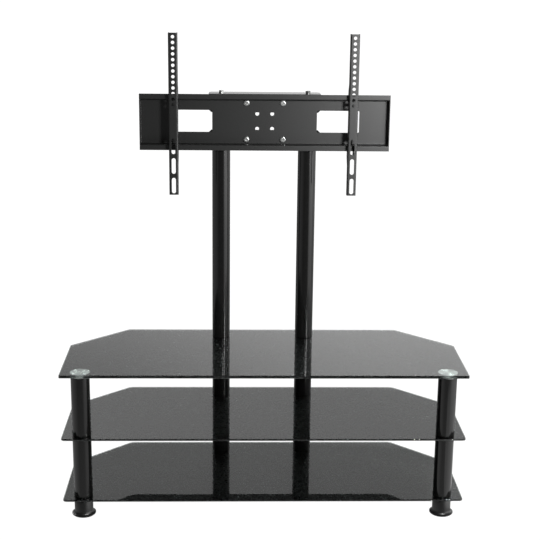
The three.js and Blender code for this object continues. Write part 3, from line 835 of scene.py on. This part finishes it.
class MakeFasteners(Operator):
    """Make the bolts, washers and nuts that can be seen"""
    bl_idname = "tv_stand.fasteners"
    bl_label = "Fasteners"

    def execute(self, context):
        for level in ("lower", "upper"):
            for side in SIDES:
                self.rail_bolt(f"{level}_{side}")
        for side in SIDES:
            self.top_bolt(side)
        return {"FINISHED"}

    def rail_bolt(self, label):
        washer_low, washer_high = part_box(f"rail_washer_{label}")
        bolt_low, bolt_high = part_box(f"rail_bolt_{label}")
        nut_low, nut_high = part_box(f"rail_nut_{label}")
        at = middle_of(f"rail_washer_{label}")
        seat = washer_high.y
        origin = (at.x, seat, at.z)
        washer = seat - washer_low.y
        outer = (washer_high.x - washer_low.x) / 2
        top = seat - bolt_low.y
        tail = seat - bolt_high.y
        head = (bolt_high.x - bolt_low.x) / 2
        ease = washer * 0.4
        ring = [
            (BOLT_HOLE, 0), (outer, 0), (outer, washer - ease), (outer - ease, washer), (BOLT_HOLE, washer),
        ]
        made = turned(f"rail_washer_ring_{label}", ring, 64, closed=True)
        hand_over(to_front(made, origin), "zinc", f"rail_washer_{label}")

        dome, steps = 0.0018, 6
        round_top = [
            (head - dome * (1 - math.cos(a)), top - dome + dome * math.sin(a))
            for a in (i * RIGHT_ANGLE / steps for i in range(steps + 1))
        ]
        profile = bolt_shank(tail, washer, head) + [*round_top, (0, top)]
        bolt = turned(f"rail_bolt_head_{label}", profile, 64)
        socket_radius, socket_depth = 0.0029, 0.0026
        socket = bmesh.new()
        add_peg(socket, socket_radius, 2 * socket_depth, (0, 0, top), sides=6)
        combine(bolt, new_piece("socket_tool", socket))
        crisp(bolt)
        hand_over(to_front(bolt, origin), "zinc", f"rail_bolt_{label}")

        radius = (nut_high.z - nut_low.z) / 2
        nut = hexagon_head(f"rail_nut_hex_{label}", radius, seat - nut_high.y, seat - nut_low.y, (0, 0, 0))
        bore = bmesh.new()
        add_peg(bore, BOLT_HOLE, NUT_BORE, (0, 0, 0))
        combine(nut, new_piece("bore_tool", bore))
        crisp(nut)
        hand_over(to_front(nut, origin), "zinc", f"rail_nut_{label}")

    def top_bolt(self, side):
        node = f"{side}_column_top_bolt"
        low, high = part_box(node)
        at = middle_of(node)
        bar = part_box("upper_cross_bar")[1].z
        flange, thickness, across_flats = (high.x - low.x) / 2, 0.0014, 0.013
        top = bar + thickness
        profile = bolt_shank(low.z, bar, flange) + [
            (flange, top - BOLT_EASE), (flange - BOLT_EASE, top), (0, top)]
        bolt = turned(f"{side}_cap_bolt", profile, 64, (at.x, at.y, 0))
        corners = across_flats / math.sqrt(3)
        head = hexagon_head("head_tool", corners, bar + thickness / 2, high.z, (at.x, at.y, 0))
        combine(bolt, head, "UNION")
        crisp(bolt)
        hand_over(bolt, "zinc", node)


class MakeArms(Operator):
    """Make the hooked screen arms"""
    bl_idname = "tv_stand.arms"
    bl_label = "Screen arms"

    def execute(self, context):
        for side in SIDES:
            self.make_arm(side, context.scene.stand_mount)
        return {"FINISHED"}

    def make_arm(self, side, mount):
        node = f"{side}_screen_arm"
        low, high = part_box(node)
        rail_low, rail_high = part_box("mount_rail")
        lock = middle_of(f"{side}_lock_screw")
        x = (low.x + high.x) / 2
        flank = (high.x - low.x) / 2 - SHEET / 2
        front = low.y + SHEET / 2
        rear = high.y + OVERRUN
        line = [(x - flank, rear), (x - flank, front), (x + flank, front), (x + flank, rear)]
        arm = folded_sheet(f"{side}_hook_arm", line, (low.z, high.z), along_z, mount.fold_radius, SHEET)
        outline, rounds = self.side_view(low, high, rail_low, rail_high)
        form = plate("form_tool", outline, along_x, low.x - OVERRUN, high.x + OVERRUN, rounds, corner=0.004)
        combine(arm, form, "INTERSECT")
        combine(arm, self.punch(x, low, high, mount))
        tab = self.tab(x, flank, lock, rail_low)
        combine(arm, tab, "UNION")
        ease_edges(arm, mount.edge)
        hand_over(arm, "mount", node, body=f"{side}_arm")

    def side_view(self, low, high, rail_low, rail_high):
        """The arm's hooked side in Y and Z, and its rounded corners."""
        play, hook_play, ledge_play = 0.0003, 0.0006, 0.0008
        flange, taper, hook, ledge = 0.016, 0.020, 0.008, 0.018
        hook_height = 0.009
        back = rail_low.y - play
        hook_front = rail_low.y + SHEET + hook_play
        hook_rear = hook_front + hook
        hook_tip = rail_high.z - hook_height
        seat = rail_high.z + play
        crown = seat + hook_height
        ledge_top = rail_low.z - ledge_play
        ledge_base = ledge_top - ledge
        depth = low.y + flange
        outline = [
            (low.y, low.z), (depth, low.z), (depth, ledge_base - taper), (high.y, ledge_base),
            (high.y, ledge_top), (back, ledge_top), (back, seat), (hook_front, seat),
            (hook_front, hook_tip), (hook_rear, hook_tip), (hook_rear, crown),
            (depth, crown + taper), (depth, high.z), (low.y, high.z),
        ]
        return outline, (2, 3, 10, 11)

    def punch(self, x, low, high, mount):
        """The round holes down from the top and the slots up from the lowest place."""
        margin, through, hole = 0.0105, 0.012, 0.0045
        slot_width, slot_height, slot_end, slot_pitch = 0.011, 0.043, 0.00549, 0.054
        top = high.z - margin
        tools = bmesh.new()
        for i in range(mount.hole_count):
            add_peg(tools, hole, through, (x, low.y, top - i * mount.hole_pitch), axis="Y")
        for i in range(mount.slot_count):
            place = (x, low.y, top - mount.screen_pattern + i * slot_pitch)
            add_block(tools, (slot_width, through, slot_height), place, slot_end, segments=12)
        return new_piece("punch_tool", tools)

    def tab(self, x, flank, lock, rail_low):
        """The tab that the lock screw goes through, below the rail."""
        drop, hole, depth, thickness, through = 0.011, 0.0028, 0.0084, 0.003, 0.02
        top = rail_low.z - drop
        inner, outer = lock.x - hole - SHEET, x + flank
        bm = bmesh.new()
        add_block(bm, (outer - inner, depth, thickness), ((inner + outer) / 2, lock.y, top - thickness / 2))
        tab = new_piece("tab_tool", bm)
        bore = bmesh.new()
        add_peg(bore, hole, through, (lock.x, lock.y, top))
        return combine(tab, new_piece("tab_hole_tool", bore))


class MakeLockScrews(Operator):
    """Make the knurled screws that lock the arms to the rail"""
    bl_idname = "tv_stand.lock_screws"
    bl_label = "Lock screws"

    def execute(self, context):
        grooves, groove, head = 24, 0.93, 0.0047
        thread, tip, fine_pitch = 0.0025, 0.0019, 0.0008
        for side in SIDES:
            node = f"{side}_lock_screw"
            low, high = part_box(node)
            at = middle_of(node)
            bm = bmesh.new()
            made = bmesh.ops.create_circle(
                bm, cap_ends=True, segments=3 * grooves, radius=(high.x - low.x) / 2)
            for vert in made["verts"][::3]:
                vert.co *= groove
            shift(bm, bmesh.ops.extrude_face_region(bm, geom=bm.faces[:])["geom"], (0, 0, head))
            bmesh.ops.recalc_face_normals(bm, faces=bm.faces)
            bmesh.ops.translate(bm, verts=bm.verts, vec=(0, 0, low.z))
            screw = new_piece(f"{side}_thumb_screw", bm)
            profile = threaded_profile(thread, low.z + head - OVERLAP, high.z - BOLT_EASE, fine_pitch)
            profile += [(tip, high.z), (0, high.z)]
            combine(screw, turned("thread_tool", profile, 32), "UNION")
            screw.data.transform(Matrix.Translation((at.x, at.y, 0)))
            crisp(screw)
            hand_over(screw, "zinc", node, body=f"{side}_lock")
        return {"FINISHED"}


class DressHiddenParts(Operator):
    """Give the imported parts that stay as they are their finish"""
    bl_idname = "tv_stand.hidden_parts"
    bl_label = "Hidden parts"

    def execute(self, context):
        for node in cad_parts.values():
            if not node.hide_render:
                node.data.materials.clear()
                node.data.materials.append(MATERIALS["zinc"])
        return {"FINISHED"}


# Studio

def add_softbox(name, power, size, at, target):
    data = bpy.data.lights.new(name, "AREA")
    data.shape = "RECTANGLE"
    data.size, data.size_y = size
    data.energy = power
    light = bpy.data.objects.new(name, data)
    direction = Vector(target) - Vector(at)
    light.matrix_world = Matrix.Translation(at) @ direction.to_track_quat("-Z", "Y").to_matrix().to_4x4()
    bpy.context.scene.collection.objects.link(light)
    return light


class MakeStage(Operator):
    """Make the camera, the floor and the studio light"""
    bl_idname = "tv_stand.stage"
    bl_label = "Stage"

    def execute(self, context):
        settings = context.scene.stand_stage
        self.make_camera(context.scene)
        self.make_floor(settings)
        self.make_surroundings(context.scene)
        add_softbox(
            "key_softbox", settings.key_power, (0.34, 0.17), at=(0.80, -1.80, 1.50), target=(0, 0, 0.9))
        add_softbox(
            "strip_light", settings.strip_power, (0.12, 0.30), at=(0.95, -0.95, 0.94), target=(0, 0.1, 0.42))
        card = add_softbox(
            "floor_card", settings.card_power, (1.1, 1.4), at=(1.08, -0.42, 0.01), target=(1.08, -0.42, 1.0))
        card.visible_camera = False
        return {"FINISHED"}

    def make_camera(self, scene):
        place = Vector((-0.08167, -3.20806, 1.50683))
        yaw, pitch, roll = (math.radians(a) for a in (1.74, 15.06, 0.65))
        focal, width = 1217.6, 540
        forward = Vector((
            math.sin(yaw) * math.cos(pitch), math.cos(yaw) * math.cos(pitch), -math.sin(pitch)))
        level = Vector((math.cos(yaw), -math.sin(yaw), 0))
        up = level.cross(forward)
        right = level * math.cos(roll) + up * math.sin(roll)
        above = up * math.cos(roll) - level * math.sin(roll)
        data = bpy.data.cameras.new("photo_camera")
        data.sensor_width = 36
        data.lens = focal * data.sensor_width / width
        camera = bpy.data.objects.new("photo_camera", data)
        axes = Matrix((right, above, -forward)).transposed()
        camera.matrix_world = Matrix.Translation(place) @ axes.to_4x4()
        scene.collection.objects.link(camera)
        scene.camera = camera

    def make_floor(self, settings):
        """A white floor, which the stand doesn't mirror: it mirrors the surroundings' lower half."""
        bm = bmesh.new()
        bmesh.ops.create_grid(bm, x_segments=1, y_segments=1, size=settings.floor_size / 2)
        floor = new_piece("studio_floor", bm)
        material = new_material("floor_paint", settings.floor_colour, 0.9)
        shader = material.node_tree.nodes["Principled BSDF"]
        shader.inputs["Emission Color"].default_value = (1, 1, 1, 1)
        shader.inputs["Emission Strength"].default_value = 1.0
        floor.data.materials.append(material)
        floor.visible_glossy = False
        floor.visible_diffuse = False

    def make_surroundings(self, scene):
        """Soft light that differs by direction, as in a photo studio, before a plain white backdrop."""
        world = bpy.data.worlds.new("studio")
        world.use_nodes = True
        scene.world = world
        scene.view_settings.view_transform = "Standard"
        tree = world.node_tree
        nodes, links = tree.nodes, tree.links
        place = nodes.new("ShaderNodeTexCoord").outputs["Generated"]
        axes = nodes.new("ShaderNodeSeparateXYZ")
        links.new(place, axes.inputs["Vector"])

        def spread(axis, low, high, to_low, to_high):
            """A smooth change of brightness while the direction turns along an axis."""
            return map_range(tree, axes.outputs[axis], low, high, to_low, to_high, "SMOOTHSTEP")

        def lamp(direction, strength, rim=0.992, core=0.998):
            """A small bright spot; rim and core are cosines from its middle."""
            toward = nodes.new("ShaderNodeVectorMath")
            toward.operation = "DOT_PRODUCT"
            toward.inputs[1].default_value = direction
            links.new(place, toward.inputs[0])
            return map_range(tree, toward.outputs["Value"], rim, core, 0.0, strength, "SMOOTHSTEP")

        def total(first, *others):
            for other in others:
                first = calculate(tree, "ADD", first, other)
            return first

        def product(first, *others):
            for other in others:
                first = calculate(tree, "MULTIPLY", first, other)
            return first

        # Behind the stand: the wall that the shelves mirror, in steps from the top shelf to the bottom one
        wall = total(
            spread("Z", 0.30, 0.342, 1.03, 0.93), spread("Z", 0.345, 0.43, 0.0, 0.17),
            spread("Z", 0.343, 0.352, 0.0, -0.225), spread("Z", 0.388, 0.395, 0.0, -0.31))
        wall = product(wall, spread("Z", 0.45, 0.9, 1.0, 0.35))
        slant = product(spread("X", -0.16, 0.14, -0.32, 0.3), spread("Z", 0.343, 0.352, 1.0, 0.0))
        backdrop = product(
            spread("Y", -0.2, 0.5, 0.0, 1.0), total(wall, slant), spread("Z", -0.03, 0.03, 0.0, 1.0))
        corner = product(spread("X", 0.153, 0.164, 0.0, 0.14), spread("Z", 0.395, 0.415, 0.0, 1.0))
        # In front of it: the dim room, and the floor, which is brighter to the left and straight below
        room = product(spread("Y", -0.5, -0.1, 0.12, 0.0), spread("Z", 0.0, 0.25, 0.0, 1.0))
        left = total(spread("X", -0.98, -0.4, 0.3, 0.0), 0.08)
        below = total(product(spread("Z", -0.03, 0.03, 1.0, 0.0), left), spread("Z", -0.46, -0.28, 0.35, 0.0))
        # To the right: the large soft light that the tubes mirror
        right = product(
            spread("X", 0.45, 0.78, 0.0, 1.0), spread("Y", -0.1, 0.2, 1.0, 0.35),
            spread("Z", -0.28, -0.12, 0.95, 2.9), spread("Z", -0.41, -0.27, 0.25, 1.0),
            spread("Z", 0.29, 0.345, 1.0, 0.12))
        # Two lamps, for the streaks on the turned discs
        lamps = total(lamp((-0.50, 0.65, 0.57), 16.0), lamp((0.317, 0.554, 0.77), 22.0))
        fill = 0.04
        around = total(backdrop, fill, room, below, right, corner, lamps)
        seen = nodes.new("ShaderNodeLightPath").outputs["Is Camera Ray"]
        background = nodes["Background"]
        background.inputs["Color"].default_value = (1, 1, 1, 1)
        links.new(calculate(tree, "MAXIMUM", around, seen), background.inputs["Strength"])


CLASSES = (
    GlassSettings, TubeSettings, MountSettings, StageSettings, MakeMaterials, MakeShelves, MakeTubes,
    MakeDiscs, MakeFeet, MakeCrossBars, MakeRail, MakeFasteners, MakeArms, MakeLockScrews,
    DressHiddenParts, MakeStage,
)
OPERATORS = [c for c in CLASSES if issubclass(c, Operator)]
GROUPS = {
    "stand_glass": GlassSettings, "stand_tubes": TubeSettings,
    "stand_mount": MountSettings, "stand_stage": StageSettings,
}


class StandPanel(Panel):
    """Lists the stand's sizes, colours and pieces"""
    bl_idname = "VIEW3D_PT_tv_stand"
    bl_label = "TV stand"
    bl_space_type = "VIEW_3D"
    bl_region_type = "UI"
    bl_category = "TV stand"

    def draw(self, context):
        for name, group in GROUPS.items():
            box = self.layout.box()
            settings = getattr(context.scene, name)
            for prop in group.__annotations__:
                box.prop(settings, prop)
        for operator in OPERATORS:
            self.layout.operator(operator.bl_idname)


def register():
    for cls in (*CLASSES, StandPanel):
        bpy.utils.register_class(cls)
    for name, group in GROUPS.items():
        setattr(bpy.types.Scene, name, PointerProperty(type=group))


def unregister():
    for name in GROUPS:
        delattr(bpy.types.Scene, name)
    for cls in reversed((*CLASSES, StandPanel)):
        bpy.utils.unregister_class(cls)


def main():
    register()
    for operator in OPERATORS:
        group, name = operator.bl_idname.split(".")
        getattr(getattr(bpy.ops, group), name)()


if __name__ == "__main__":
    main()
